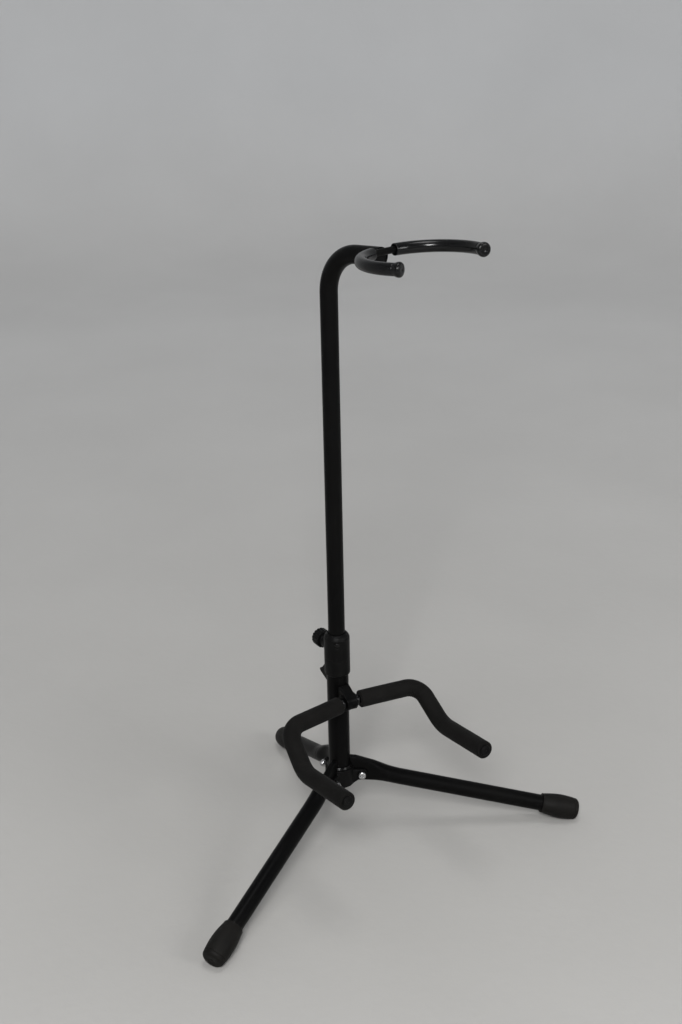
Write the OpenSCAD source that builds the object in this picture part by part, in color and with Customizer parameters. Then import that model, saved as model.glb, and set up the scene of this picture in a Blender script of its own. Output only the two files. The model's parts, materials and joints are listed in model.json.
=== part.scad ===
// Folding guitar stand: tripod base, telescoping post, foam cradle and a padded neck rest.
// The floor is z = 0, the post's axis is x = y = 0, and the guitar stands on the -Y side.
// Angles of the legs are measured from straight ahead (-Y), turning towards +X.

/* [Legs] */
// Distance from the post's axis to the rounded end of a front foot
front_reach = 279; // [240:1:320]
// Distance from the post's axis to the rounded end of the rear foot
rear_reach = 199; // [180:1:300]
// Angle of each front leg from straight ahead
front_angle = 60; // [52:1:68]
// Angle of the rear leg from straight ahead
rear_angle = 170; // [165:1:180]
// Outside diameter of a leg tube
leg_d = 19; // [16:0.5:21]
// Wall of a leg tube
leg_wall = 1.2; // [0.8:0.1:2]
// Height of the leg pivots above the floor
pivot_z = 75; // [68:1:95]
// Distance of the leg pivots from the post's axis
pivot_r = 26; // [25:0.5:32]
// Height of a leg's axis above its pivot
leg_lift = 3.3; // [2:0.1:5]
// Thickness of a leg's pinched end
pinch_t = 8; // [6:0.5:10]
// Height of the pinched end's upper corner above the pivot
pinch_rise = 23; // [20:0.5:26]
// Height of the pinched end's lower edge below the pivot
pinch_drop = 10; // [9:0.5:11]
// Depth of the pinched end where it starts to swell
pinch_depth = 24; // [22:0.5:26]
// Distance past the pivot over which the pinched end stays flat
pinch_flat = 9.5; // [8:0.5:12]
// Distance past the pivot where the pinched end has swollen into the round tube
pinch_blend = 29; // [24:1:36]

/* [Feet] */
// Length of a rubber foot
foot_len = 45; // [38:1:56]
// Largest diameter of a rubber foot
foot_d = 28; // [25:0.5:31]
// Wall of the foot's thin lip
foot_lip = 1.9; // [1.2:0.1:2.6]
// Rounding of the foot's closed end
foot_round = 5; // [3:0.5:7]
// Length of leg tube held inside a foot
foot_grip = 33; // [24:1:36]
// Depth of the small flat worn on the bottom of each foot
foot_flat = 0.4; // [0.2:0.1:0.8]

/* [Hub] */
// Height of the hub's underside above the floor
hub_z = 63; // [60:0.5:65]
// Height of the hub
hub_h = 22.5; // [20:0.5:26]
// Radius of the hub's core
hub_r = 17; // [16:0.5:20]
// Thickness of each cheek beside a leg
cheek_t = 3; // [2.5:0.5:4]
// Radius of a cheek's rounded end
cheek_r = 6.5; // [6:0.5:8]
// Radius of the steel ring above the hub
ring_r = 14.3; // [13.8:0.1:14.5]
// Height of the steel ring
ring_h = 3; // [2:0.5:5]
// Thickness of the bottom plug's flange
plug_flange = 1.6; // [1:0.2:3]
// Length of the bottom plug inside the tube
plug_len = 10; // [6:1:14]

/* [Leg pivots] */
// Diameter of the pivot screw
screw_d = 5; // [4:0.5:6]
// Diameter of the pivot screw's head
screw_head_d = 9.6; // [9:0.1:11]
// Height of the pivot screw's head
screw_head_h = 3; // [2:0.5:4]
// Diameter of the washers
washer_d = 11; // [10:0.5:13]
// Thickness of the washers
washer_t = 1; // [0.8:0.1:1.5]
// Width of the lock nut across its flats
nut_w = 8; // [7:0.5:10]
// Height of the lock nut
nut_h = 5; // [4:0.5:6]
// Wall of the steel sleeve in a leg's pinched end
sleeve_wall = 1.4; // [1:0.1:2]

/* [Post] */
// Outside diameter of the lower tube
lower_d = 25; // [24:0.1:25.4]
// Wall of the lower tube
lower_wall = 1.5; // [1:0.1:2]
// Height of the lower tube's top edge above the floor
lower_top = 256; // [250:1:262]
// Outside diameter of the upper tube
upper_d = 19; // [18:0.1:19.5]
// Wall of the upper tube
upper_wall = 1.2; // [0.8:0.1:2]
// Height of the upper tube's lower end above the floor
upper_bottom = 172; // [160:1:180]
// Height where the post's axis meets the axis of the neck
neck_z = 692.6; // [600:1:760]
// Rise of the neck above level, in degrees
neck_rise = 4.4; // [0:0.2:15]
// Length of the neck from the post's axis to its end
neck_len = 76.4; // [70:0.5:110]
// Radius of the upper tube's bend, on its axis
neck_bend = 45; // [30:1:56]
// Turn of the upper tube from straight ahead, in degrees
neck_turn = 11.8; // [-30:0.2:30]
// Length of the plug in the neck's end
neck_plug_len = 9; // [5:1:14]
// Length of the guide bush's flange
bush_flange = 9; // [6:0.5:12]
// Length of the guide bush inside the upper tube
bush_len = 14; // [8:1:20]

/* [Height collar] */
// Height of the collar's lower edge above the floor
collar_z = 209; // [200:1:214]
// Outside diameter of the collar
collar_d = 29.4; // [28.5:0.1:32]
// Height of the collar's lip above the lower tube
collar_lip = 4.5; // [3:0.5:8]
// Height of the collar's sloped shoulder
collar_shoulder = 5.5; // [4:0.5:8]
// Height of the clamp screw above the floor
clamp_z = 239; // [232:0.5:241]
// Diameter of the clamp screw's boss
boss_d = 15; // [14.5:0.1:17]
// Distance from the post's axis to the end of the boss
boss_end = 24.5; // [24.5:0.5:32]
// Length of the finger lug at the collar's lower back, from the post's axis
lug_reach = 33; // [26:1:38]
// Thickness of the finger lug
lug_t = 9; // [4:0.5:12]
// Diameter of the rivet that holds the collar
rivet_d = 4; // [3:0.5:5]
// Diameter of the rivet's head
rivet_head_d = 6.4; // [6:0.2:8]
// Height of the rivet above the floor
rivet_z = 249.5; // [247:0.5:250]
// Angle of the rivet from straight ahead
rivet_angle = -31; // [-60:1:60]
// Thickness of the rivet's tail inside the tube
rivet_tail_t = 0.4; // [0.3:0.1:0.5]

/* [Clamp] */
// Diameter of the knob
knob_d = 21; // [19:0.5:25]
// Thickness of the knob's head
knob_t = 12; // [8:0.5:14]
// Diameter of the knob's neck
knob_neck_d = 12; // [10:0.5:13]
// Length of the knob's neck
knob_neck = 2.5; // [2:0.5:8]
// Number of grips round the knob
knob_grips = 16; // [12:1:20]
// Diameter of the clamp screw
stud_d = 6; // [5:0.5:6]
// Width of the clamp nut across its flats
clamp_nut_w = 10; // [9:0.5:10]
// Thickness of the clamp nut
clamp_nut_t = 5; // [4:0.5:5.5]
// Diameter of the nylon clamp shoe
shoe_d = 8; // [7:0.5:9]
// Length of the nylon clamp shoe
shoe_len = 4.5; // [4:0.25:5]
// Diameter of the clamp screw's nose, which turns in the shoe
nose_d = 3; // [2:0.5:4]
// Length of the clamp screw's nose
nose_len = 2.5; // [2:0.25:3]

/* [Cradle] */
// Height of the arms' socket above the floor
socket_z = 181.3; // [176:0.5:183]
// Distance from the post's axis forward to the middle of the socket
socket_y = 22.6; // [22:0.1:26]
// Backward slope of each arm's inner run, in degrees
arm_sweep = 8.5; // [0:0.5:15]
// Outside diameter of the socket barrel
socket_d = 19; // [17:0.5:21]
// Length of half the socket barrel
socket_len = 8; // [7:0.5:9]
// Width of the bracket's web
web_w = 13; // [11:1:15]
// Height of the web above the socket's axis
web_rise = 16.5; // [15:0.5:22]
// Diameter of an arm's rod
arm_d = 10; // [8:0.5:11]
// Distance along the inner run to an arm's outer corner
arm_run = 88.5; // [70:0.5:110]
// Side, forward and upward steps from the outer corner to the low bend
arm_drop = [4, -43, -32.5];
// Side, forward and upward steps from the low bend to the tip
arm_tip_step = [-2.4, -83, 9.5];
// Bend radius at an arm's outer corner
arm_corner_r = 21; // [18:1:24]
// Bend radius at an arm's low bend
arm_bend_r = 28; // [22:1:34]
// Outside diameter of the foam
foam_d = 20; // [17:0.5:23]
// Distance along the inner run to the start of the foam
foam_start = 13.5; // [13.5:0.5:20]
// Outside diameter of the ring beside the socket
arm_ring_d = 13.4; // [12.5:0.1:15]
// Width of the ring beside the socket
arm_ring_w = 3.6; // [2.4:0.2:4]
// Diameter of the screw that stops and holds an arm
stop_d = 2.5; // [2:0.5:3]
// Depth of the groove in an arm's rod that the stop screw enters
stop_depth = 2; // [1.5:0.1:2.4]
// Swing of an arm from rest to folded, in degrees
arm_swing = 95; // [80:1:100]
// Diameter of the arm's end cap
cap_d = 12; // [11:0.5:14]
// Thickness of the arm's end cap
cap_t = 2.2; // [1.5:0.1:3]

/* [Neck rest] */
// Rise of the neck rest above level, in degrees
yoke_rise = 2.9; // [0:0.1:12]
// Height of the neck rest's rod above the axis of the neck
yoke_lift = 4.7; // [3:0.1:5]
// Depth of the notch in the neck's end where the rod is welded
yoke_seat = 1; // [0.5:0.1:2]
// Diameter of the yoke's rod
yoke_d = 7; // [6:0.5:8]
// Length of half the yoke's straight middle
yoke_base = 6; // [4:0.5:12]
// Bend radius of the yoke
yoke_bend = 56.5; // [44:0.5:64]
// Inward lean of each prong, in degrees
yoke_lean = 17; // [6:0.5:22]
// Length of each prong's straight end
yoke_prong = 6; // [6:0.5:40]
// Outside diameter of the yoke's sleeves
sleeve_d = 12.4; // [11:0.2:15]
// Distance from the middle of the yoke to the start of a sleeve
sleeve_start = 15; // [13:0.5:20]
// Largest diameter of a prong's tip
tip_d = 14.6; // [14:0.1:17]
// Length of a prong's tip past the rod
tip_len = 3.2; // [2:0.2:5]
// Length of rod that a prong's tip covers
tip_cover = 5; // [4:0.5:5.5]

/* [Clearances] */
// Running clearance at a pivot or slide, on the radius
run_gap = 0.08; // [0.04:0.01:0.1]
// Clearance between pieces fixed together, on the radius
fix_gap = 0.05; // [0.02:0.01:0.1]
// Clearance between the faces of pieces that move
face_gap = 0.3; // [0.2:0.05:0.5]

/* [Hidden] */
$fn = 64;
hull_fn = 32;
weld_half = 0.3;              // half the length of the band that joins two lengths of a bar
weld_rise = 0.02;             // how much wider than the bar that band is
cut = 1;                      // how far a cutting tool runs past the face it cuts
lower_r = lower_d / 2;
lower_bore = lower_r - lower_wall;
upper_r = upper_d / 2;
upper_bore = upper_r - upper_wall;
leg_r = leg_d / 2;
hub_top = hub_z + hub_h;
stop_u = ring_r + face_gap;   // the pinched ends rest against the ring here
slot_u = sqrt(stop_u * stop_u - pinch_t * pinch_t / 4) - face_gap;  // clears their inner corners
slot_w = pinch_t + 2 * face_gap;
cheek_w = slot_w + 2 * cheek_t;
sleeve_r = screw_d / 2 + run_gap + sleeve_wall;
leg_angles = [-front_angle, front_angle, rear_angle];

foot_r = foot_d / 2;
foot_in = leg_r + fix_gap;
foot_mouth = foot_in + foot_lip;
foot_end_r = foot_r - 1.2;
foot_belly = 0.52;            // share of the foot's length at which it is widest

clamp_nut_y = boss_end - 3 - clamp_nut_t;
shoe_y = upper_r + face_gap;
knob_y = boss_end + face_gap;
stud_end = knob_y + knob_neck + knob_t - 3;

socket_point = [0, -socket_y, socket_z];
rod_gap = 1.6;                // from the middle of the socket to the inner end of a rod
ring_start = socket_len + face_gap;
stop_at = (socket_len + rod_gap) / 2;
stop_slot = stop_d + 2 * face_gap;
stop_floor = arm_d / 2 - stop_depth;
stop_spare = asin(stop_d / 2 / stop_floor) + 4;  // how far the groove runs past the swing at each end

yoke_turn = 90 + yoke_lean;
yoke_corner = yoke_base + yoke_bend * tan(yoke_turn / 2);
neck_dir = [0, -cos(neck_rise), sin(neck_rise)];
neck_up = [0, sin(neck_rise), cos(neck_rise)];
neck_corner = [0, 0, neck_z];
tube_end = neck_corner + neck_dir * neck_len;
yoke_point = tube_end + neck_dir * (yoke_d / 2 - yoke_seat) + neck_up * yoke_lift;
yoke_dir = [0, -cos(yoke_rise), sin(yoke_rise)];

// Shapes along a bent line

function unit(v) = v / norm(v);
function between(u, v) = acos(max(-1, min(1, u * v)));
// The turns that lay the X, Y and Z axes along three square directions
function turns(ex, ey, ez) = [atan2(ey.z, ez.z), -asin(max(-1, min(1, ex.z))), atan2(ex.y, ex.x)];
function mirror_x(p, side) = [side * p.x, p.y, p.z];

// A round bar from point a to point b
module bar(a, b, d) {
    run = b - a;
    translate(a)
        rotate([0, acos(run.z / norm(run)), atan2(run.y, run.x)])
            cylinder(d = d, h = norm(run));
}

// A round bend at corner p, from direction u to direction v
module elbow(p, u, v, r, d) {
    angle = between(u, v);
    inward = unit(v - u * (u * v));
    centre = p - u * r * tan(angle / 2) + inward * r;
    translate(centre)
        rotate(turns(-inward, u, cross(u, inward)))
            rotate_extrude(angle = angle)
                translate([r, 0]) circle(d = d);
}

// A hair-thin band that joins the lengths of a bent bar where they meet
module weld(p, u, d) {
    bar(p - u * weld_half, p + u * weld_half, d + weld_rise);
}

// A round bar along points, with a bend radius at each inner point; both ends may run on by extra
module bent_bar(points, radii, d, extra = 0) {
    last = len(points) - 1;
    dirs = [for (i = [0 : last - 1]) unit(points[i + 1] - points[i])];
    trims = [for (i = [0 : last])
        (i == 0 || i == last) ? -extra : radii[i - 1] * tan(between(dirs[i - 1], dirs[i]) / 2)];
    for (i = [0 : last - 1])
        bar(points[i] + dirs[i] * trims[i], points[i + 1] - dirs[i] * trims[i + 1], d);
    for (i = [1 : last - 1]) {
        elbow(points[i], dirs[i - 1], dirs[i], radii[i - 1], d);
        weld(points[i] - dirs[i - 1] * trims[i], dirs[i - 1], d);
        weld(points[i] + dirs[i] * trims[i], dirs[i], d);
    }
}

// Legs

// The leg's slope that sets the rounded end of its foot on the floor, found step by step
function leg_slope(reach, guess = 15, steps = 8) = steps == 0 ? guess :
    leg_slope(reach, atan((pivot_z + leg_lift - foot_axis_z(guess)) / (reach - pivot_r)), steps - 1);
// Height of the foot's axis at its rounded end, for a leg that slopes by a
function foot_axis_z(a) = (foot_end_r - foot_round) * cos(a) + foot_round - foot_flat;
// Length along a leg's axis from above the pivot to the rounded end's centre
function leg_length(reach) = (reach - pivot_r) / cos(leg_slope(reach));

// Turns a leg drawn along +X to its angle round the post
module at_leg(angle) {
    rotate([0, 0, angle - 90]) children();
}

// Lays a leg's axis along +Z, starting above its pivot
module on_leg_axis(reach) {
    translate([pivot_r, 0, pivot_z + leg_lift])
        rotate([0, 90 + leg_slope(reach), 0]) children();
}

// A slice across the pinched end, d from the post's axis, between two heights and set in all round
module pinch_slice(d, low, high, inset = 0) {
    round_r = pinch_t / 2;
    for (z = [low + round_r, high - round_r])
        translate([d, 0, z]) rotate([0, 90, 0]) cylinder(r = round_r - inset, h = 0.5, $fn = hull_fn);
}

// The pinched end: flat beside the pivot, swelling into the round tube
module pinched_end(reach) {
    low = pivot_z - pinch_drop;
    top = pivot_z + pinch_rise;
    swell = pivot_r + pinch_flat;
    overlap = 1.2;
    skin = 0.05;
    hull() {
        pinch_slice(0, low, top);
        pinch_slice(stop_u + 4, low, top - 1);
        pinch_slice(swell, low, low + pinch_depth);
    }
    hull() {
        pinch_slice(swell - overlap, low, low + pinch_depth, skin);
        on_leg_axis(reach)
            translate([0, 0, pinch_blend + overlap]) cylinder(r = leg_r - skin, h = 0.5, $fn = hull_fn);
    }
}

// What the pinched end leaves free: the tube, the ring and a round nose below the stop
module pinch_clearance() {
    nose_r = pivot_r - stop_u;
    spare = 2 * pinch_t;
    ring_top = hub_top + ring_h + face_gap;
    cylinder(r = lower_r + face_gap, h = lower_top);
    cylinder(r = stop_u, h = ring_top);
    translate([pivot_r, spare / 2, pivot_z]) rotate([90, 0, 0])
        linear_extrude(spare)
            difference() {
                translate([-2 * nose_r, -2 * nose_r]) square([2 * nose_r, 2 * nose_r]);
                circle(r = nose_r);
            }
}

module leg(angle, reach) {
    tube_len = leg_length(reach) + foot_round - (foot_len - foot_grip);
    color([0.05, 0.05, 0.06])
    at_leg(angle)
        difference() {
            union() {
                pinched_end(reach);
                on_leg_axis(reach)
                    translate([0, 0, pinch_blend]) cylinder(r = leg_r, h = tube_len - pinch_blend);
            }
            pinch_clearance();
            on_leg_axis(reach)
                translate([0, 0, pinch_blend + 2 * leg_wall])
                    cylinder(r = leg_r - leg_wall, h = tube_len - pinch_blend);
            translate([pivot_r, 0, pivot_z]) rotate([90, 0, 0])
                cylinder(r = sleeve_r + fix_gap, h = pinch_t + 2 * cut, center = true);
        }
}

module pivot_sleeve(angle) {
    color([0.75, 0.75, 0.77])
    at_leg(angle)
        translate([pivot_r, 0, pivot_z]) rotate([90, 0, 0])
            difference() {
                cylinder(r = sleeve_r, h = pinch_t, center = true);
                cylinder(r = screw_d / 2 + run_gap, h = pinch_t + 2 * cut, center = true);
            }
}

// Half outline of a foot: the axis is x = 0 and the open mouth is y = 0
module foot_outline() {
    belly = foot_len * foot_belly;
    swell = [for (t = [0 : 0.125 : 1]) [foot_mouth + (foot_r - foot_mouth) * sin(90 * t), 1.5 + (belly - 1.5) * t]];
    taper = [for (t = [0.25 : 0.25 : 1])
        [foot_r - (foot_r - foot_end_r) * t * t, belly + (foot_len - foot_round - belly) * t]];
    nose = [for (a = [15 : 15 : 90])
        [foot_end_r - foot_round + foot_round * cos(a), foot_len - foot_round + foot_round * sin(a)]];
    polygon(concat([[foot_in, 0], [foot_mouth - 0.6, 0], [foot_mouth, 0.6]], swell, taper, nose,
                   [[0, foot_len], [0, foot_grip], [foot_in, foot_grip]]));
}

module foot(angle, reach) {
    color([0.09, 0.09, 0.09])
    at_leg(angle)
        difference() {
            on_leg_axis(reach)
                translate([0, 0, leg_length(reach) + foot_round - foot_len])
                    rotate_extrude() foot_outline();
            translate([reach - foot_len, -foot_d, -foot_d]) cube([2 * foot_len, 2 * foot_d, foot_d]);
        }
}

// Hub

module base_hub() {
    color([0.06, 0.06, 0.06])
    difference() {
        union() {
            translate([0, 0, hub_z]) cylinder(r = hub_r, h = hub_h);
            for (angle = leg_angles)
                at_leg(angle) {
                    translate([0, cheek_w / 2, 0]) rotate([90, 0, 0])
                        linear_extrude(cheek_w) cheek_outline();
                    translate([pivot_r, 0, pivot_z]) rotate([90, 0, 0])
                        cylinder(r = cheek_r, h = cheek_w, center = true);
                }
        }
        translate([0, 0, hub_z - cut]) cylinder(r = lower_r + fix_gap, h = hub_h + 2 * cut);
        for (angle = leg_angles)
            at_leg(angle) {
                translate([slot_u, -slot_w / 2, hub_z - cut])
                    cube([pivot_r + cheek_r, slot_w, hub_h + 2 * cut]);
                translate([pivot_r, 0, pivot_z]) rotate([90, 0, 0])
                    cylinder(d = screw_d + 2 * fix_gap, h = cheek_w + 2 * cut, center = true);
            }
    }
}

// Upright outline of a cheek, from the hub to the lower side of its rounded end
module cheek_outline() {
    drop = pivot_z - hub_z - 0.8;
    reach = pivot_r - hub_r + 1;
    slope = asin((drop - cheek_r) / norm([drop - cheek_r, reach]));
    polygon([[0, hub_z + 0.8], [hub_r - 1, hub_z + 0.8],
             [pivot_r - cheek_r * sin(slope), pivot_z - cheek_r * cos(slope)],
             [pivot_r, pivot_z], [pivot_r, pivot_z + cheek_r], [0, pivot_z + cheek_r]]);
}

module hub_ring() {
    edge = 0.8;
    color([0.05, 0.05, 0.06])
    translate([0, 0, hub_top])
        rotate_extrude()
            polygon([[lower_r + fix_gap, 0], [ring_r, 0], [ring_r, ring_h - edge],
                     [ring_r - edge, ring_h], [lower_r + fix_gap, ring_h]]);
}

module hub_plug() {
    color([0.1, 0.1, 0.1]) {
        translate([0, 0, hub_z - plug_flange]) cylinder(r = lower_r - 0.4, h = plug_flange);
        translate([0, 0, hub_z]) cylinder(r = lower_bore - fix_gap, h = plug_len);
    }
}

// Puts its children on each leg's pivot, with +Z along the pivot's axis away from the screw's head
module at_pivots() {
    for (angle = leg_angles)
        at_leg(angle)
            translate([pivot_r, -cheek_w / 2, pivot_z]) rotate([-90, 0, 0]) children();
}

module leg_pivot_screws() {
    shank = cheek_w + 2 * washer_t + nut_h + 1.5;
    dome = screw_head_d / 2;
    color([0.78, 0.78, 0.8])
    at_pivots()
        translate([0, 0, -washer_t])
            rotate_extrude()
                polygon([[0, -screw_head_h], [dome * 0.6, -screw_head_h], [dome * 0.9, -screw_head_h * 0.7],
                         [dome, -screw_head_h * 0.3], [dome, 0], [screw_d / 2, 0],
                         [screw_d / 2, shank], [0, shank]]);
}

module leg_pivot_washers() {
    color([0.75, 0.75, 0.78])
    at_pivots()
        for (z = [-washer_t, cheek_w])
            translate([0, 0, z])
                difference() {
                    cylinder(d = washer_d, h = washer_t);
                    translate([0, 0, -cut]) cylinder(d = screw_d + 2 * fix_gap, h = washer_t + 2 * cut);
                }
}

module leg_pivot_nuts() {
    color([0.72, 0.72, 0.74])
    at_pivots()
        translate([0, 0, cheek_w + washer_t]) hex_nut(nut_w, nut_h, screw_d);
}

// A plain hexagon nut on +Z
module hex_nut(across, height, bore) {
    difference() {
        linear_extrude(height) circle(d = across / cos(30), $fn = 6);
        translate([0, 0, -cut]) cylinder(d = bore + 2 * fix_gap, h = height + 2 * cut);
    }
}

// Post

module lower_tube() {
    color([0.04, 0.04, 0.05])
    difference() {
        translate([0, 0, hub_z]) cylinder(r = lower_r, h = lower_top - hub_z);
        translate([0, 0, hub_z - cut]) cylinder(r = lower_bore, h = lower_top - hub_z + 2 * cut);
        translate([0, 0, clamp_z]) rotate([-90, 0, 0]) cylinder(d = shoe_d + 2 * face_gap, h = lower_d);
        at_rivet() cylinder(d = rivet_d + 2 * fix_gap, h = lower_d);
    }
}

// Puts its children on the rivet's axis, with +Z pointing out of the post
module at_rivet() {
    translate([0, 0, rivet_z]) rotate([0, 0, rivet_angle - 90]) rotate([0, 90, 0]) children();
}

module height_collar() {
    top = lower_top + collar_lip;
    r = collar_d / 2;
    seat = lower_r + fix_gap;
    groove_z = (collar_z + clamp_z) / 2 + 6;
    color([0.05, 0.05, 0.05])
    difference() {
        union() {
            rotate_extrude()
                polygon([[seat, collar_z], [r - 1, collar_z], [r, collar_z + 1.4], [r, groove_z - 0.6],
                         [r - 0.4, groove_z], [r, groove_z + 0.6], [r, top - collar_shoulder],
                         [r - 1.2, top - collar_shoulder / 2], [upper_r + 1.4, top],
                         [upper_r + run_gap, top], [upper_r + run_gap, lower_top + fix_gap],
                         [seat, lower_top + fix_gap]]);
            translate([0, lower_r, clamp_z]) rotate([-90, 0, 0])
                cylinder(d = boss_d, h = boss_end - lower_r);
            translate([-lug_t / 2, 0, 0]) rotate([90, 0, 90]) linear_extrude(lug_t) lug_outline();
        }
        translate([0, 0, collar_z - 3 * lug_t]) cylinder(r = seat, h = lower_top - collar_z + 3 * lug_t);
        translate([0, 0, clamp_z]) rotate([-90, 0, 0]) {
            cylinder(d = shoe_d + 2 * face_gap, h = clamp_nut_y);
            cylinder(d = stud_d + 2 * face_gap, h = boss_end + cut);
            translate([0, 0, clamp_nut_y - fix_gap])
                linear_extrude(clamp_nut_t + 2 * fix_gap)
                    circle(d = (clamp_nut_w + 2 * fix_gap) / cos(30), $fn = 6);
        }
        at_rivet() {
            cylinder(d = rivet_d + 2 * fix_gap, h = collar_d);
            translate([0, 0, r - 1.6]) cylinder(d = rivet_head_d + 2 * fix_gap, h = collar_d);
        }
    }
}

// Upright outline of the finger lug behind the post: x is the distance back, y is the height
module lug_outline() {
    polygon([[lower_r, collar_z + 14], [lower_r + 4, collar_z + 9], [lug_reach - 7, collar_z - 3],
             [lug_reach, collar_z - 8], [lug_reach - 2, collar_z - 11], [lower_r, collar_z - 19]]);
}

module collar_rivet() {
    r = collar_d / 2;
    tail_r = rivet_d / 2 + 0.8;
    tail = sqrt(lower_bore * lower_bore - tail_r * tail_r) - fix_gap;
    head = r - 1.6;
    color([0.05, 0.05, 0.06])
    at_rivet()
        rotate_extrude()
            polygon([[0, tail - rivet_tail_t], [tail_r, tail - rivet_tail_t], [tail_r, tail],
                     [rivet_d / 2, tail], [rivet_d / 2, head], [rivet_head_d / 2, head],
                     [rivet_head_d / 2 - 0.5, head + 1.1], [0, head + 1.6]]);
}

module clamp_nut() {
    color([0.75, 0.75, 0.77])
    translate([0, clamp_nut_y, clamp_z]) rotate([-90, 0, 0])
        hex_nut(clamp_nut_w, clamp_nut_t, stud_d);
}

// The screw's thin nose turns in a blind hole in the shoe
module clamp_stud() {
    color([0.76, 0.76, 0.78])
    translate([0, shoe_y + shoe_len, clamp_z]) rotate([-90, 0, 0]) {
        translate([0, 0, -nose_len]) cylinder(d = nose_d, h = nose_len + cut);
        translate([0, 0, fix_gap]) cylinder(d = stud_d, h = stud_end - shoe_y - shoe_len - fix_gap);
    }
}

module clamp_shoe() {
    color([0.85, 0.85, 0.8])
    translate([0, shoe_y, clamp_z]) rotate([-90, 0, 0])
        difference() {
            cylinder(d = shoe_d, h = shoe_len);
            translate([0, 0, shoe_len - nose_len - fix_gap])
                cylinder(d = nose_d + 2 * run_gap, h = nose_len + cut);
        }
}

module clamp_knob() {
    r = knob_d / 2;
    total = knob_neck + knob_t;
    color([0.06, 0.06, 0.06])
    translate([0, knob_y, clamp_z]) rotate([-90, 0, 0])
        difference() {
            rotate_extrude()
                polygon([[0, 0], [knob_neck_d / 2 - 0.6, 0], [knob_neck_d / 2, 0.6],
                         [knob_neck_d / 2, knob_neck - 1], [r - 2, knob_neck], [r, knob_neck + 2],
                         [r, total - 2], [r - 2, total], [r - 4.5, total], [r - 5.3, total - 0.8],
                         [0, total - 0.8]]);
            translate([0, 0, -cut]) cylinder(d = stud_d + 2 * fix_gap, h = stud_end - knob_y + cut);
            for (i = [0 : knob_grips - 1])
                rotate([0, 0, i * 360 / knob_grips])
                    translate([r + 0.5, 0, knob_neck - cut]) cylinder(r = 1.3, h = knob_t + 2 * cut);
        }
}

module guide_bush() {
    color([0.9, 0.9, 0.86])
    difference() {
        union() {
            translate([0, 0, upper_bottom - bush_flange])
                cylinder(r = lower_bore - run_gap, h = bush_flange - face_gap);
            translate([0, 0, upper_bottom - face_gap - fix_gap])
                cylinder(r = upper_bore - run_gap, h = bush_len);
        }
        translate([0, 0, upper_bottom - bush_flange - cut])
            cylinder(r = upper_bore - 3, h = bush_flange + bush_len + 2 * cut);
    }
}

module upper_tube() {
    path = [[0, 0, upper_bottom], neck_corner, tube_end];
    color([0.04, 0.04, 0.05])
    at_neck()
        difference() {
            bent_bar(path, [neck_bend], upper_d);
            bent_bar(path, [neck_bend], 2 * upper_bore, cut);
            yoke_notch();
        }
}

// The notch across the neck's end that the neck rest's rod lies in
module yoke_notch() {
    translate(yoke_point) rotate([0, 90, 0])
        cylinder(d = yoke_d + 2 * fix_gap, h = upper_d + 2 * cut, center = true);
}

module neck_plug() {
    edge = 0.6;
    r = upper_bore - fix_gap;
    color([0.08, 0.08, 0.08])
    at_neck()
        difference() {
            translate(tube_end - neck_dir * neck_plug_len) rotate([90 - neck_rise, 0, 0])
                rotate_extrude()
                    polygon([[0, 0], [r, 0], [r, neck_plug_len - 2 * edge], [r - edge, neck_plug_len - edge],
                             [0, neck_plug_len - edge]]);
            yoke_notch();
        }
}

// Neck rest

// Turns the neck and all that it carries
module at_neck() {
    rotate([0, 0, neck_turn]) children();
}

function yoke_at(side, out, ahead) = yoke_point + [side * out, 0, 0] + yoke_dir * ahead;
prong_dir = [-sin(yoke_lean), cos(yoke_lean)];
prong_len = yoke_bend * tan(yoke_turn / 2) + yoke_prong;
function prong_end(side, more = 0) =
    yoke_at(side, yoke_corner + prong_dir.x * (prong_len + more), prong_dir.y * (prong_len + more));

module yoke_rod() {
    color([0.05, 0.05, 0.06])
    at_neck()
        bent_bar([prong_end(-1), yoke_at(-1, yoke_corner, 0), yoke_at(1, yoke_corner, 0), prong_end(1)],
                 [yoke_bend, yoke_bend], yoke_d);
}

// A sleeve starts on the bend and runs to the tip
module yoke_sleeve(side) {
    start_turn = (sleeve_start - yoke_base) / yoke_bend * 180 / PI;
    color([0.03, 0.03, 0.03])
    at_neck()
        difference() {
            yoke_cover(side, sleeve_d, start_turn, 0);
            yoke_cover(side, yoke_d + 2 * fix_gap, start_turn - 1, cut);
        }
}

// One prong from the given turn of its bend to its tip, as a bar of diameter d
module yoke_cover(side, d, start_turn, extra) {
    along = [side, 0, 0];
    run = prong_end(side, 1) - prong_end(side);
    straight = prong_end(side, -yoke_prong);
    translate(yoke_at(side, yoke_base, yoke_bend))
        rotate(turns(-yoke_dir, along, cross(-yoke_dir, along)))
            rotate([0, 0, start_turn])
                rotate_extrude(angle = yoke_turn - start_turn)
                    translate([yoke_bend, 0]) circle(d = d);
    bar(straight, prong_end(side, extra - tip_cover - fix_gap), d);
    weld(straight, run, d);
}

// A tip covers the rod's end and swells to a rounded face
module yoke_tip(side) {
    r = tip_d / 2;
    start_r = sleeve_d / 2;
    bore = yoke_d / 2 + fix_gap;
    run = prong_end(side, 1) - prong_end(side);
    color([0.04, 0.04, 0.04])
    at_neck()
        translate(prong_end(side))
            rotate([0, acos(run.z / norm(run)), atan2(run.y, run.x)])
                rotate_extrude()
                    polygon([[bore, -tip_cover], [start_r, -tip_cover], [start_r + 0.25, -tip_cover * 0.6],
                             [r - 0.2, -1], [r, 0.4], [r - 0.4, tip_len * 0.6], [r - 1.6, tip_len * 0.88],
                             [r - 3.2, tip_len], [0, tip_len], [0, fix_gap], [bore, fix_gap]]);
}

// Cradle

// Direction of an arm's inner run
function run_dir(side) = [side * cos(arm_sweep), -sin(arm_sweep), 0];
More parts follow.
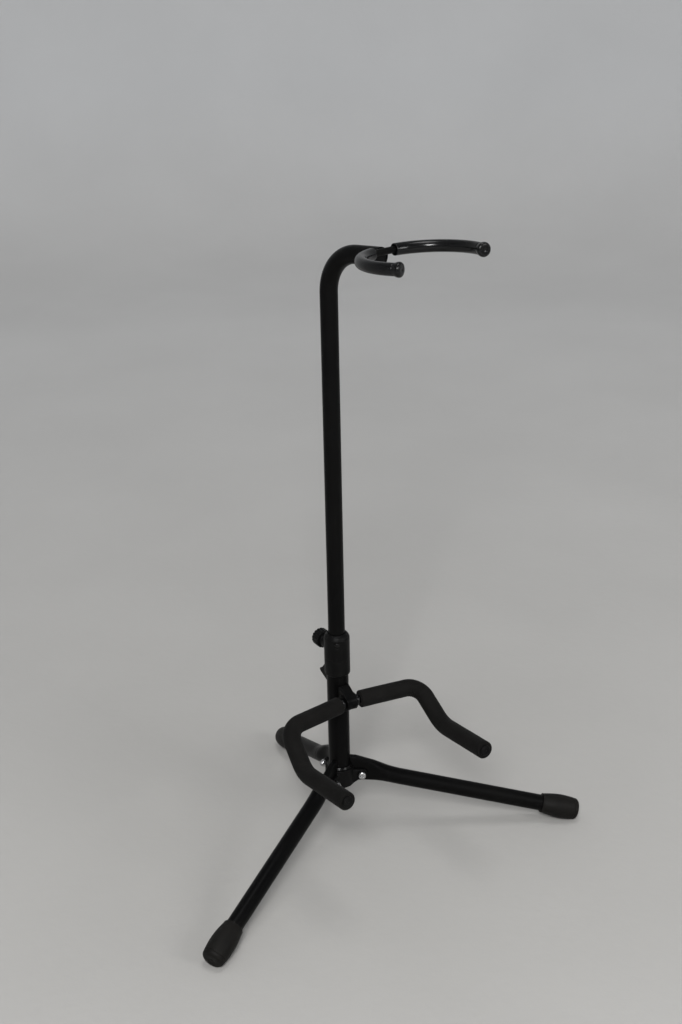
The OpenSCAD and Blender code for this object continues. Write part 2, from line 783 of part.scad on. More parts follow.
// Point on an arm's inner run
function run_at(side, s) = socket_point + run_dir(side) * s;
function arm_corner(side) = run_at(side, arm_run);
function arm_bend(side) = arm_corner(side) + mirror_x(arm_drop, side);
function arm_tip(side) = arm_bend(side) + mirror_x(arm_tip_step, side);

module arm_bar(side, start, d, extra = 0) {
    bent_bar([run_at(side, start), arm_corner(side), arm_bend(side), arm_tip(side)],
             [arm_corner_r, arm_bend_r], d, extra);
}

// Puts its children on an arm's inner run, with +Z pointing outwards and +X pointing down
module on_run(side, s) {
    run = run_dir(side);
    translate(run_at(side, s)) rotate([0, 90, atan2(run.y, run.x)]) children();
}

module cradle_bracket() {
    r = socket_d / 2;
    top = socket_z + web_rise;
    color([0.05, 0.05, 0.06])
    difference() {
        union() {
            for (side = [-1, 1]) on_run(side, 0) cylinder(r = r, h = socket_len);
            translate([-web_w / 2, 0, 0]) rotate([90, 0, 90])
                linear_extrude(web_w)
                    polygon([[-lower_r + 5, top], [-lower_r - 1, top],
                             [-socket_y - r * sin(30), socket_z + r * cos(30)],
                             [-socket_y, socket_z], [-socket_y, socket_z - r], [-lower_r + 5, socket_z - r]]);
        }
        translate([0, 0, socket_z - socket_d])
            cylinder(r = lower_r + fix_gap, h = web_rise + 2 * socket_d);
        for (side = [-1, 1]) {
            on_run(side, 0) cylinder(d = arm_d + 2 * run_gap, h = socket_len + cut);
            on_run(side, stop_at) rotate([0, 90, 0]) cylinder(d = stop_d + 2 * fix_gap, h = socket_d);
        }
    }
}

// The groove round part of an arm's rod, which turns past the stop screw below it
module stop_groove(side) {
    sweep = arm_swing + 2 * stop_spare;
    rotate([0, 0, side > 0 ? -stop_spare : stop_spare - sweep])
        rotate_extrude(angle = sweep)
            translate([stop_floor, -stop_slot / 2]) square([arm_d, stop_slot]);
}

module arm_rod(side) {
    color([0.05, 0.05, 0.06])
    difference() {
        arm_bar(side, rod_gap, arm_d);
        on_run(side, stop_at) stop_groove(side);
    }
}

module arm_stop(side) {
    inner = stop_floor + face_gap;
    color([0.75, 0.75, 0.77])
    on_run(side, stop_at) rotate([0, 90, 0]) translate([0, 0, inner])
        cylinder(d = stop_d, h = socket_d / 2 - 0.4 - inner);
}

module arm_ring(side) {
    color([0.03, 0.03, 0.03])
    on_run(side, ring_start)
        difference() {
            cylinder(d = arm_ring_d, h = arm_ring_w);
            translate([0, 0, -cut]) cylinder(d = arm_d + 2 * fix_gap, h = arm_ring_w + 2 * cut);
        }
}

module arm_foam(side) {
    color([0.12, 0.12, 0.12])
    difference() {
        arm_bar(side, foam_start, foam_d);
        arm_bar(side, foam_start, arm_d + 2 * fix_gap, cut);
    }
}

module arm_cap(side) {
    run = arm_tip(side) - arm_bend(side);
    r = cap_d / 2;
    color([0.05, 0.05, 0.05])
    translate(arm_tip(side))
        rotate([0, acos(run.z / norm(run)), atan2(run.y, run.x)])
            rotate_extrude()
                polygon([[0, 0], [r, 0], [r, cap_t * 0.5], [r - 1, cap_t * 0.9], [r - 2.2, cap_t], [0, cap_t]]);
}

lower_tube();
hub_plug();
hub_ring();
base_hub();
leg_pivot_screws();
leg_pivot_washers();
leg_pivot_nuts();
leg(-front_angle, front_reach);  // leg_left
leg(front_angle, front_reach);  // leg_right
leg(rear_angle, rear_reach);  // leg_rear
pivot_sleeve(-front_angle);  // pivot_sleeve_left
pivot_sleeve(front_angle);  // pivot_sleeve_right
pivot_sleeve(rear_angle);  // pivot_sleeve_rear
foot(-front_angle, front_reach);  // foot_left
foot(front_angle, front_reach);  // foot_right
foot(rear_angle, rear_reach);  // foot_rear
height_collar();
collar_rivet();
clamp_nut();
clamp_knob();
clamp_stud();
clamp_shoe();
guide_bush();
upper_tube();
neck_plug();
yoke_rod();
yoke_sleeve(-1);  // yoke_sleeve_left
yoke_sleeve(1);  // yoke_sleeve_right
yoke_tip(-1);  // yoke_tip_left
yoke_tip(1);  // yoke_tip_right
cradle_bracket();
arm_rod(-1);  // arm_rod_left
arm_rod(1);  // arm_rod_right
arm_ring(-1);  // arm_ring_left
arm_ring(1);  // arm_ring_right
arm_stop(-1);  // arm_stop_left
arm_stop(1);  // arm_stop_right
arm_foam(-1);  // arm_foam_left
arm_foam(1);  // arm_foam_right
arm_cap(-1);  // arm_cap_left
arm_cap(1);  // arm_cap_right
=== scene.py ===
"""Looks of the folding guitar stand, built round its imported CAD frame.

Design sizes are in millimetres and degrees. Meshes, materials and the studio are in metres.
"""
import json
import math

import bpy
import numpy as np
from mathutils import Matrix, Vector


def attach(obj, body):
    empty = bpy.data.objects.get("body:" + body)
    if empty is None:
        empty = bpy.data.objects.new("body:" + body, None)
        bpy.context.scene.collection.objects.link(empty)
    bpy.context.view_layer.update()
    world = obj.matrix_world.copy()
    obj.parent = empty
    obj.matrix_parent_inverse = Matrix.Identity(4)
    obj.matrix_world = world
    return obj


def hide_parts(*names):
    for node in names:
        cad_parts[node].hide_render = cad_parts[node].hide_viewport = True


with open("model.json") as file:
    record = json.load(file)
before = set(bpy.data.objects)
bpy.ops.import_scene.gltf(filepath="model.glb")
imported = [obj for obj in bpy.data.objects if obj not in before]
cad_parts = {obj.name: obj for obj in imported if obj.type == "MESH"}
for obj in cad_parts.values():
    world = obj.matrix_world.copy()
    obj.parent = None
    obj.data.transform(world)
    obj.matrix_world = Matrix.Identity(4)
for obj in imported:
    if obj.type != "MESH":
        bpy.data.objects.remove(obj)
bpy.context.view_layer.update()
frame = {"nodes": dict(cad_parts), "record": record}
NODES = frame["nodes"]
MM = 0.001


# Materials. Noise and cell scales are counts per metre, and bump depths are in metres.

def new_material(name):
    """A node material and its principled shader, with nothing else in it."""
    material = bpy.data.materials.new(name)
    material.use_nodes = True
    tree = material.node_tree
    tree.nodes.clear()
    shader = tree.nodes.new("ShaderNodeBsdfPrincipled")
    out = tree.nodes.new("ShaderNodeOutputMaterial")
    tree.links.new(shader.outputs["BSDF"], out.inputs["Surface"])
    return material, tree, shader


def coords(tree, stretch=(1, 1, 1)):
    """Object coordinates in metres, stretched."""
    source = tree.nodes.new("ShaderNodeTexCoord")
    mapping = tree.nodes.new("ShaderNodeMapping")
    mapping.inputs["Scale"].default_value = stretch
    tree.links.new(source.outputs["Object"], mapping.inputs["Vector"])
    return mapping.outputs["Vector"]


def noise(tree, vector, scale, detail=3.0, rough=0.5):
    """A cloudy value from 0 to 1, mostly near the middle."""
    node = tree.nodes.new("ShaderNodeTexNoise")
    node.inputs["Scale"].default_value = scale
    node.inputs["Detail"].default_value = detail
    node.inputs["Roughness"].default_value = rough
    tree.links.new(vector, node.inputs["Vector"])
    return node.outputs["Fac"]


def cells(tree, vector, scale):
    """Distance to the middle of the nearest cell, in cells."""
    node = tree.nodes.new("ShaderNodeTexVoronoi")
    node.inputs["Scale"].default_value = scale
    tree.links.new(vector, node.inputs["Vector"])
    return node.outputs["Distance"]


def ramp(tree, value, colour_low, colour_high, low=0.3, high=0.75):
    """Colour that runs from one to the other as the value goes from low to high."""
    node = tree.nodes.new("ShaderNodeValToRGB")
    first, last = node.color_ramp.elements
    first.position, last.position = low, high
    first.color, last.color = (*colour_low, 1), (*colour_high, 1)
    tree.links.new(value, node.inputs["Fac"])
    return node.outputs["Color"]


def spread(tree, value, low, high, to_low, to_high):
    """Number that runs from to_low to to_high as the value goes from low to high."""
    node = tree.nodes.new("ShaderNodeMapRange")
    for socket, number in (("From Min", low), ("From Max", high), ("To Min", to_low), ("To Max", to_high)):
        node.inputs[socket].default_value = number
    tree.links.new(value, node.inputs["Value"])
    return node.outputs["Result"]


def mixed(tree, share, first, second):
    """The second colour laid over the first by a share."""
    node = tree.nodes.new("ShaderNodeMix")
    node.data_type = "RGBA"
    tree.links.new(share, node.inputs["Factor"])
    tree.links.new(first, node.inputs["A"])
    if isinstance(second, tuple):
        node.inputs["B"].default_value = (*second, 1)
    else:
        tree.links.new(second, node.inputs["B"])
    return node.outputs["Result"]


def specked(tree, value, low, high, most, colour, speck):
    """A colour with specks, absent where the value is under low and a share of most over high."""
    return mixed(tree, spread(tree, value, low, high, 0.0, most), colour, speck)


def bumps(tree, shader, layers):
    """Stacks height layers of (value, depth) on the shader's normal."""
    normal = None
    for value, depth in layers:
        node = tree.nodes.new("ShaderNodeBump")
        node.inputs["Strength"].default_value = 1.0
        node.inputs["Distance"].default_value = depth
        tree.links.new(value, node.inputs["Height"])
        if normal is not None:
            tree.links.new(normal, node.inputs["Normal"])
        normal = node.outputs["Normal"]
    tree.links.new(normal, shader.inputs["Normal"])


def cover(tree, shader, colour, rough, specular, layers):
    """Gives a shader its colour, roughness, specular level and bump layers."""
    tree.links.new(colour, shader.inputs["Base Color"])
    tree.links.new(rough, shader.inputs["Roughness"])
    shader.inputs["Specular IOR Level"].default_value = specular
    bumps(tree, shader, layers)


def enamel():
    """Gloss black enamel on steel tube: orange peel, dust, rubbed streaks and a few chips."""
    material, tree, shader = new_material("black_enamel")
    where = coords(tree)
    haze = noise(tree, where, 9, 4)
    peel = noise(tree, where, 520, 2)
    dust = noise(tree, where, 2300, 2, 0.7)
    streaks = noise(tree, coords(tree, (1, 1, 2.6)), 130, 4, 0.75)
    colour = ramp(tree, haze, (0.0016, 0.0016, 0.0018), (0.0034, 0.0033, 0.0031))
    colour = specked(tree, dust, 0.7, 0.78, 0.3, colour, (0.06, 0.058, 0.054))
    colour = specked(tree, streaks, 0.7, 0.76, 0.5, colour, (0.035, 0.034, 0.032))
    chips = spread(tree, cells(tree, where, 55), 0.022, 0.034, 0.9, 0.0)
    chipped = mixed(tree, chips, colour, (0.34, 0.33, 0.31))
    worn = spread(tree, noise(tree, where, 17, 2), 0.58, 0.62, 0.0, 1.0)
    rough = spread(tree, haze, 0.25, 0.8, 0.28, 0.42)
    cover(tree, shader, mixed(tree, worn, colour, chipped), rough, 0.06, [(peel, 0.00006), (dust, 0.00001)])
    return material


def lacquer():
    """Thick black lacquer on small steel pieces, shinier than the tubes."""
    material, tree, shader = new_material("black_lacquer")
    where = coords(tree)
    haze = noise(tree, where, 140)
    fine = noise(tree, where, 1500, 2)
    colour = ramp(tree, haze, (0.0025, 0.0025, 0.0027), (0.006, 0.0058, 0.0055))
    rough = spread(tree, haze, 0.3, 0.8, 0.18, 0.26)
    cover(tree, shader, colour, rough, 0.18, [(fine, 0.00001)])
    return material


def zinc():
    """Bright zinc plate with fine turned scratches."""
    material, tree, shader = new_material("bright_zinc")
    haze = noise(tree, coords(tree), 160)
    scratches = noise(tree, coords(tree, (1, 1, 9)), 900, 3, 0.6)
    colour = ramp(tree, haze, (0.42, 0.42, 0.43), (0.60, 0.60, 0.60))
    rough = spread(tree, scratches, 0.3, 0.8, 0.18, 0.34)
    cover(tree, shader, colour, rough, 0.5, [(scratches, 0.00001)])
    shader.inputs["Metallic"].default_value = 1.0
    return material


def moulded():
    """Black moulded plastic with a fine sparked texture."""
    material, tree, shader = new_material("moulded_plastic")
    where = coords(tree)
    grain = noise(tree, where, 1700, 3, 0.6)
    haze = noise(tree, where, 28)
    dust = noise(tree, where, 1500, 2, 0.7)
    colour = ramp(tree, haze, (0.0022, 0.0022, 0.0024), (0.0046, 0.0045, 0.0043))
    colour = specked(tree, dust, 0.68, 0.78, 0.25, colour, (0.07, 0.068, 0.062))
    rough = spread(tree, haze, 0.25, 0.8, 0.36, 0.5)
    cover(tree, shader, colour, rough, 0.09, [(grain, 0.00003)])
    return material


def nylon():
    """Natural nylon, slightly waxy."""
    material, tree, shader = new_material("natural_nylon")
    where = coords(tree)
    haze = noise(tree, where, 60)
    fine = noise(tree, where, 900, 2)
    colour = ramp(tree, haze, (0.68, 0.67, 0.61), (0.78, 0.77, 0.72))
    rough = spread(tree, haze, 0.3, 0.8, 0.38, 0.5)
    cover(tree, shader, colour, rough, 0.5, [(fine, 0.00002)])
    shader.inputs["Subsurface Weight"].default_value = 0.15
    shader.inputs["Subsurface Radius"].default_value = (0.002, 0.002, 0.0015)
    return material


def vinyl():
    """Glossy black vinyl tube with a soft flow in its surface."""
    material, tree, shader = new_material("glossy_vinyl")
    where = coords(tree)
    flow = noise(tree, where, 95, 2)
    haze = noise(tree, where, 22)
    dust = noise(tree, where, 2100, 2, 0.7)
    colour = ramp(tree, haze, (0.0018, 0.0019, 0.0021), (0.0032, 0.0032, 0.0034))
    colour = specked(tree, dust, 0.7, 0.8, 0.4, colour, (0.1, 0.1, 0.095))
    rough = spread(tree, haze, 0.25, 0.8, 0.15, 0.25)
    cover(tree, shader, colour, rough, 0.26, [(flow, 0.00012), (dust, 0.00001)])
    return material


def foam():
    """Closed-cell black foam: fine open pores on a rubbed skin."""
    material, tree, shader = new_material("black_foam")
    where = coords(tree)
    pores = cells(tree, where, 1250)
    pits = cells(tree, where, 430)
    haze = noise(tree, where, 30, 4)
    dust = noise(tree, where, 1700, 3, 0.75)
    colour = ramp(tree, haze, (0.0042, 0.004, 0.0038), (0.0085, 0.0081, 0.0075), low=0.25, high=0.8)
    colour = specked(tree, dust, 0.66, 0.76, 0.3, colour, (0.07, 0.065, 0.057))
    rough = spread(tree, pores, 0.0, 0.7, 0.95, 0.72)
    cover(tree, shader, colour, rough, 0.06, [(pits, 0.00012), (pores, 0.00012)])
    shader.inputs["Sheen Weight"].default_value = 0.02
    shader.inputs["Sheen Roughness"].default_value = 0.5
    return material


def rubber():
    """Black moulded rubber with a dusty bloom."""
    material, tree, shader = new_material("black_rubber")
    where = coords(tree)
    grain = noise(tree, where, 1300, 3, 0.6)
    haze = noise(tree, where, 45, 4)
    dust = noise(tree, where, 1600, 3, 0.7)
    colour = ramp(tree, haze, (0.0045, 0.0042, 0.0038), (0.0095, 0.0088, 0.0078), low=0.25, high=0.8)
    colour = specked(tree, dust, 0.64, 0.78, 0.35, colour, (0.085, 0.08, 0.07))
    rough = spread(tree, haze, 0.25, 0.8, 0.46, 0.62)
    cover(tree, shader, colour, rough, 0.1, [(grain, 0.00006)])
    return material


def pale_surface():
    """A pale matt floor, lighter further out and up the wall, where less of the light reaches it."""
    material, tree, shader = new_material("pale_floor")
    where = coords(tree)
    cloud = noise(tree, where, 2.5)
    near_tint = ramp(tree, cloud, (0.385, 0.377, 0.362), (0.415, 0.407, 0.391))
    far_tint = ramp(tree, cloud, (0.655, 0.65, 0.64), (0.69, 0.685, 0.675))
    wall_tint = ramp(tree, cloud, (0.65, 0.655, 0.66), (0.68, 0.685, 0.69))
    away = tree.nodes.new("ShaderNodeVectorMath")
    away.operation = "LENGTH"
    tree.links.new(where, away.inputs[0])
    floor_tint = mixed(tree, spread(tree, away.outputs["Value"], 0.2, 2.4, 0.0, 1.0), near_tint, far_tint)
    height = tree.nodes.new("ShaderNodeSeparateXYZ")
    tree.links.new(where, height.inputs["Vector"])
    rise = spread(tree, height.outputs["Z"], 0.02, 0.5, 0.0, 1.0)
    tree.links.new(mixed(tree, rise, floor_tint, wall_tint), shader.inputs["Base Color"])
    shader.inputs["Roughness"].default_value = 0.85
    bumps(tree, shader, [(noise(tree, where, 60), 0.0004)])
    return material


LOOKS = {
    "black_paint": enamel(),
    "black_lacquer": lacquer(),
    "bright_steel": zinc(),
    "black_plastic": moulded(),
    "nylon": nylon(),
    "vinyl": vinyl(),
    "foam": foam(),
    "rubber": rubber(),
}


def dress_nodes():
    """Gives every CAD node the look of its material slot."""
    for part in frame["record"]["subparts"]:
        slots = NODES[part["node"]].data.materials
        slots.clear()
        slots.append(LOOKS[part["material_slot"]])


# Numbers and lines

def sine(a):
    return math.sin(math.radians(a))


def cosine(a):
    return math.cos(math.radians(a))


def vec(*numbers):
    return np.array(numbers, float)


def unit(v):
    return v / np.linalg.norm(v)


def smooth_step(x, low, high):
    """A soft step from 0 at low to 1 at high."""
    t = min(max((x - low) / (high - low), 0.0), 1.0)
    return t * t * (3 - 2 * t)


def bell(x, width):
    """A soft bump of height 1 where x is 0."""
    return math.exp(-(x / width) ** 2)


def waves(seed, count, spacing):
    """A fixed set of gentle waves about a spacing apart, read by two distances."""
    draw = np.random.default_rng(seed)
    terms = [(draw.normal(0, 1 / spacing), draw.normal(0, 1 / spacing), draw.uniform(0, 2 * math.pi))
             for _ in range(count)]

    def height(a, b):
        return sum(math.sin(2 * math.pi * (p * a + q * b) + c) for p, q, c in terms) / count

    return height


def distances(points):
    """Distance of each point of a line from its first, along the line."""
    return np.concatenate([[0], np.cumsum(np.linalg.norm(np.diff(points, axis=0), axis=1))])


def bend_points(before, corner, after, radius, step):
    """Points round one bend of a bar whose axis runs from before to after by a corner."""
    into, onward = unit(corner - before), unit(after - corner)
    turn = math.acos(float(np.clip(into @ onward, -1, 1)))
    inward = unit(onward - into * (into @ onward))
    centre = corner - into * radius * math.tan(turn / 2) + inward * radius
    return [centre - inward * radius * math.cos(t) + into * radius * math.sin(t)
            for t in np.linspace(0, turn, max(3, int(radius * turn / step) + 2))]


def rounded_line(points, radii, step):
    """Even points along a bent bar's axis, with a bend radius at each inner corner."""
    line = [points[0]]
    for before, corner, after, radius in zip(points, points[1:], points[2:], radii):
        line += bend_points(before, corner, after, radius, step)
    line = np.array(line + [points[-1]])
    reach = distances(line)
    even = np.linspace(0, reach[-1], int(reach[-1] / step) + 2)
    return np.stack([np.interp(even, reach, line[:, axis]) for axis in range(3)], 1)


class Line:
    """A line with a steady frame along it, read by distance from its start."""

    def __init__(self, points):
        self.points = np.array(points, float)
        self.reach = distances(self.points)
        self.length = float(self.reach[-1])
        along = np.gradient(self.points, self.reach, axis=0)
        self.along = along / np.linalg.norm(along, axis=1)[:, None]
        side = np.cross(vec(0, 0, 1), self.along[0])
        if np.linalg.norm(side) < 1e-3:
            side = np.cross(vec(0, 1, 0), self.along[0])
        sides = [unit(side)]
        for direction in self.along[1:]:
            last = sides[-1]
            sides.append(unit(last - direction * (last @ direction)))
        self.side = np.array(sides)

    def read(self, rows, s):
        """A vector at distance s, from rows that hold one for each of the line's points."""
        return vec(*[np.interp(s, self.reach, rows[:, axis]) for axis in range(3)])

    def at(self, s):
        """Point, direction, and two square directions at distance s, which may lie past either end."""
        inside = min(max(s, 0.0), self.length)
        along, side = unit(self.read(self.along, inside)), self.read(self.side, inside)
        side = unit(side - along * (side @ along))
        return self.read(self.points, inside) + along * (s - inside), along, side, np.cross(along, side)


def straight(start, end):
    return Line([start, end])


def arc(centre, radius, first, last, count=6):
    """Stations on a rounded edge round a centre (distance, radius), with angles from outwards."""
    return [(centre[0] + radius * sine(a), centre[1] + radius * cosine(a))
            for a in np.linspace(first, last, count)]


# Meshes

def round_angles(sides):
    return [2 * math.pi * k / sides for k in range(sides)]


def numbered(rings):
    """All points of some rings in one list, and each ring as their numbers in it."""
    points, numbers = [], []
    for ring in rings:
        numbers.append(list(range(len(points), len(points) + len(ring))))
        points += ring
    return points, numbers


def skin(rings):
    """Faces from each numbered ring to the next, where a ring may be a single point."""
    faces = []
    for low, high in zip(rings, rings[1:]):
        sides = max(len(low), len(high))
        for k in range(sides):
            n = (k + 1) % sides
            if len(low) == 1:
                faces.append((low[0], high[k], high[n]))
            elif len(high) == 1:
                faces.append((low[n], low[k], high[0]))
            else:
                faces.append((low[k], high[k], high[n], low[n]))
    return faces


def plain(s, radius, angle):
    return radius, 0.0


def turned_ring(line, s, radius, sides, shape):
    """Points round a line at distance s, or one point where the radius is nothing."""
    point, along, side, other = line.at(s)
    if radius < 1e-6:
        return [point + along * shape(s, radius, 0.0)[1]]
    ring = []
    for a in round_angles(sides):
        r, step = shape(s, radius, a)
        ring.append(point + along * step + (side * math.cos(a) + other * math.sin(a)) * r)
    return ring


def turned_shell(line, stations, sides, closed=False, shape=plain):
    """Points and faces of a body turned round a line. Its stations are (distance along it, radius).

    The shape takes a distance, a radius and an angle in radians, and gives the radius there and a
    step along the line.
    """
    points, rings = numbered([turned_ring(line, s, radius, sides, shape) for s, radius in stations])
    if closed:
        rings.append(rings[0])
    return points, skin(rings)


def make_mesh(name, verts, faces, look, sharp=32):
    """A smooth-shaded object from points in millimetres, with edges kept sharp above an angle."""
    mesh = bpy.data.meshes.new(name)
    mesh.from_pydata([tuple(float(x) * MM for x in v) for v in verts], [], faces)
    mesh.validate()
    mesh.shade_smooth()
    mesh.set_sharp_from_angle(angle=math.radians(sharp))
    mesh.materials.append(LOOKS[look])
    piece = bpy.data.objects.new(name, mesh)
    bpy.context.scene.collection.objects.link(piece)
    return piece


def turned(name, line, stations, look, sides, closed=False, shape=plain):
    """One object turned round a line, as turned_shell says."""
    return make_mesh(name, *turned_shell(line, stations, sides, closed, shape), look)


def group(name, shells, look):
    """Like shells joined into one object."""
    verts, faces = [], []
    for points, polygons in shells:
        first = len(verts)
        verts += points
        faces += [tuple(first + k for k in polygon) for polygon in polygons]
    return make_mesh(name, verts, faces, look)


def finished(piece, body, slot, *nodes):
    """Sets a piece on its body in place of CAD nodes."""
    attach(piece, body)
    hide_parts(*nodes)


# Sizes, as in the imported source

SIDES = {"left": -1, "right": 1}
FACE_GAP = 0.3  # between faces that meet
BORE_GAP = 0.1  # between a detailed piece's bore and what fills it

# Post and hub
POST_R = 12.5
HUB_TOP = 85.5
RING_R = 14.3
RING_H = 3

# Legs, with each one's angle from straight ahead and its reach over the floor
LEGS = {"left": (-60, 279), "right": (60, 279), "rear": (170, 199)}
LEG_R = 9.5
LEG_LIFT = 3.3  # of a leg's axis above its pivot
LEG_SIDES = 64  # of the mesh round a leg
PIVOT_Z = 75
PIVOT_R = 26
PINCH_T = 8
PINCH_RISE = 23  # of the pinched end's upper corner above the pivot
PINCH_DROP = 10  # of its lower edge below the pivot
PINCH_FLAT = 9.5  # past the pivot, where the solid begins to swell
PINCH_BLEND = 29  # past the pivot, where the solid has swollen into the round tube
SWELL_LEAD, SWELL_LAG = 6, 3  # how much before and after those two the sides swell here
TOP_WAIT, TOP_LAG = 9, 17  # how much later than the sides the top edge begins and ends to swell
START_U = POST_R + FACE_GAP  # where a pinched end begins, from the post's axis
STOP_U = RING_R + FACE_GAP  # where its lower edge meets the ring
SWELL_U = PIVOT_R + PINCH_FLAT - SWELL_LEAD  # where its sides begin to swell

# Feet
FOOT_LEN = 45
FOOT_R = 14
FOOT_END_R = FOOT_R - 1.2
FOOT_BELLY = 0.52  # share of the length at which a foot is widest
FOOT_LIP = 1.9  # wall of its thin lip
FOOT_ROUND = 5  # rounding of its closed end
FOOT_GRIP = 33  # length of leg tube inside it
FOOT_FLAT = 0.4  # depth of the flat worn on it

# Leg pivots
CHEEK_T = 3
CHEEK_W = PINCH_T + 2 * (FACE_GAP + CHEEK_T)  # over a pair of cheeks
SCREW_R = 2.5
SCREW_HEAD_R = 4.8
SCREW_HEAD_H = 3
SCREW_SPARE = 1.5  # of screw past its nut
WASHER_R = 5.5
WASHER_T = 1
NUT_FLAT = 4  # from the nut's axis to a flat
NUT_H = 5

# Cradle arms, with the steps from the outer corner to the low bend and on to the tip
SOCKET = vec(0, -22.6, 181.3)
ARM_R = 5
ARM_SWEEP = 8.5  # slope of the inner run seen from above
ARM_RUN = 88.5  # length of the inner run up to the outer corner
ARM_DROP = vec(4, -43, -32.5)
ARM_TIP_STEP = vec(-2.4, -83, 9.5)
ARM_CORNER_R = 21  # bend radius at the outer corner
ARM_BEND_R = 28  # bend radius at the low bend
ARM_RING_START = 8 + FACE_GAP  # clear of the socket
ARM_RING_R = 6.7
ARM_RING_W = 3.6
FOAM_START = 13.5
FOAM_R = 10
CAP_R = 6
CAP_T = 2.2

# Neck and its yoke, a bent rod with two prongs
NECK_TURN = 11.8  # from straight ahead
NECK_Z = 692.6  # where the post's axis meets the neck's
NECK_RISE = 4.4  # above level
NECK_LEN = 76.4  # from the post's axis
YOKE_R = 3.5
YOKE_RISE = 2.9  # above level
YOKE_LIFT = 4.7  # of the rod above the neck's axis
YOKE_SEAT = 1  # depth of the notch that holds the rod
YOKE_BASE = 6  # half of the straight middle
YOKE_BEND = 56.5  # bend radius
YOKE_LEAN = 17  # of each prong, inwards
YOKE_PRONG = 6  # straight end of each prong
SLEEVE_START = 15  # from the yoke's middle
SLEEVE_R = 6.2
TIP_R = 7.3
TIP_LEN = 3.2  # past the rod
TIP_COVER = 5  # length of rod inside a tip

# Clamp knob and the collar's rivet
KNOB_Y = 24.5 + FACE_GAP  # clear of the clamp screw's boss
KNOB_Z = 239
KNOB_R = 10.5
KNOB_T = 12
KNOB_NECK = 2.5
KNOB_NECK_R = 6
KNOB_GRIPS = 16
RIVET_Z = 249.5
RIVET_ANGLE = -31


# Cradle arms

def arm_line(side, start, step=1.0):
    """The axis of an arm's rod, from a distance along its inner run to its tip."""
    run = vec(side * cosine(ARM_SWEEP), -sine(ARM_SWEEP), 0)
    mirror = vec(side, 1, 1)
    corner = SOCKET + run * ARM_RUN
    bend = corner + ARM_DROP * mirror
    tip = bend + ARM_TIP_STEP * mirror
    return Line(rounded_line([SOCKET + run * start, corner, bend, tip], [ARM_CORNER_R, ARM_BEND_R], step))


def crease(s, inward):
    """Wrinkles across the inside of a bend, from a distance and the curvature towards a point."""
    full_bend, ridge, sink = 20, 0.28, 0.12
    pitch, drift, drift_pitch = 1.55, 0.6, 0.37
    tightness = max(0.0, inward * full_bend)
    return tightness ** 2 * (ridge * math.sin(s * pitch + drift * math.sin(s * drift_pitch)) - sink)


def foam_stations(length):
    """A foam tube: a bore round the rod and, at each end, a cut face with a rounded edge."""
    edge, bore = 1.5, ARM_R + 0.15
    margin, spacing, bore_spacing = 2.2, 0.7, 3.0
    mouth = [(0.6, bore), (0.1, bore + 0.4)]
    face = [(0, r) for r in (bore + 1.2, bore + 2.2, FOAM_R - edge - 0.6)]
    far_face = [(length, r) for r in (FOAM_R - edge - 0.3, bore + 2.6, bore + 1.4)]
    stations = mouth + face + arc((edge, FOAM_R - edge), edge, -90, 0)[1:]
    stations += [(s, FOAM_R) for s in np.arange(margin, length - margin, spacing)]
    stations += arc((length - edge, FOAM_R - edge), edge, 0, 90)[:-1] + far_face
    stations += [(length - s, r) for s, r in reversed(mouth)]
    stations += [(s, bore) for s in np.arange(length - 4, 2, -bore_spacing)]
    return stations


def foam_sleeve(label, side):
    """A foam tube pushed over the rod: faint waves, creases inside its bends, and cut ends."""
    line = arm_line(side, FOAM_START, 0.5)
    wave, wave_depth = waves(seed=11 + side, count=14, spacing=38), 0.16
    fine, fine_depth = waves(seed=23 + side, count=18, spacing=7), 0.05
    turning = np.gradient(line.along, line.reach, axis=0)
    skin_r = FOAM_R * 0.8

    def shape(s, radius, angle):
        if radius < skin_r:
            return radius, 0.0
        _, _, across, other = line.at(s)
        inward = (across * math.cos(angle) + other * math.sin(angle)) @ line.read(turning, s)
        around = angle * FOAM_R
        return radius + wave_depth * wave(s, around) + fine_depth * fine(s, around) + crease(s, inward), 0.0

    piece = turned(f"foam_sleeve_{label}", line, foam_stations(line.length), "foam",
                   sides=72, closed=True, shape=shape)
    finished(piece, f"arm_{label}", "foam", f"arm_foam_{label}")


def arm_end_cap(label, side):
    """A plastic plug in the rod's end: a thin rim, a shallow dish and a gate mark."""
    line = arm_line(side, FOAM_START)
    end = line.length
    face = end + CAP_T
    edge = 0.9
    rim = arc((face - 1.1, CAP_R - edge), edge, 0, 80, 5) + [(face - 0.2, CAP_R - 1.6)]
    dish = [(face - 0.55, CAP_R - 2.3), (face - 0.6, 1.2)]
    gate = [(face - 0.3, 0.8), (face - 0.25, 0)]
    stations = [(end, 0), (end, CAP_R)] + rim + dish + gate
    piece = turned(f"arm_end_cap_{label}", line, stations, "black_plastic", sides=56)
    finished(piece, f"arm_{label}", "black_plastic", f"arm_cap_{label}")


def stop_ring(label, side):
    """The soft ring between an arm's socket and its foam."""
    line = arm_line(side, ARM_RING_START)
    edge, lip, bore = 1.1, 0.3, ARM_R + BORE_GAP
    stations = [(lip, bore), (0, bore + lip)]
    stations += arc((edge, ARM_RING_R - edge), edge, -90, 0)
    stations += arc((ARM_RING_W - edge, ARM_RING_R - edge), edge, 0, 90)
    stations += [(ARM_RING_W, bore + lip), (ARM_RING_W - lip, bore)]
    piece = turned(f"stop_ring_{label}", line, stations, "vinyl", sides=64, closed=True)
    finished(piece, f"arm_{label}", "vinyl", f"arm_ring_{label}")


# Neck rest

def about_post(point):
    """A point of the neck, turned with it round the post."""
    x, y, z = point
    c, s = cosine(NECK_TURN), sine(NECK_TURN)
    return vec(x * c - y * s, x * s + y * c, z)


